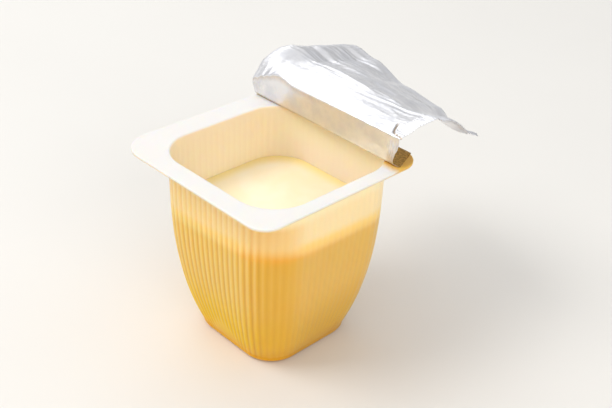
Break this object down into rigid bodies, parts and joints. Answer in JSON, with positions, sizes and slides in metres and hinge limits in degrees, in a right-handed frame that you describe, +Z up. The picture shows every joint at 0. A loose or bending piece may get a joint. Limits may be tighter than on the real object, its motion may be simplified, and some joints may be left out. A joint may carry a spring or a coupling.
{
  "type": "yogurt pot",
  "caption": "Square thermoformed yogurt pot with a flat sealing rim and ribbed tapering walls, part filled, its foil lid peeled and folded back.",
  "frame": {"origin": "centre of the foot's underside, where the pot rests", "axes": "+Z up through the mouth, +Y towards the side of the rim where the foil lid is still sealed, +X to the right of that"},
  "size_m": [0.0648, 0.0974, 0.0762],
  "materials": {
    "milky_plastic": "satin, translucent",
    "vanilla_yogurt": "soft gloss",
    "lid_foil": "satin"
  },
  "bodies": {
    "root": {"cup": "milky_plastic", "yogurt": "vanilla_yogurt", "lid_foil": "lid_foil"}
  },
  "joints": []
}
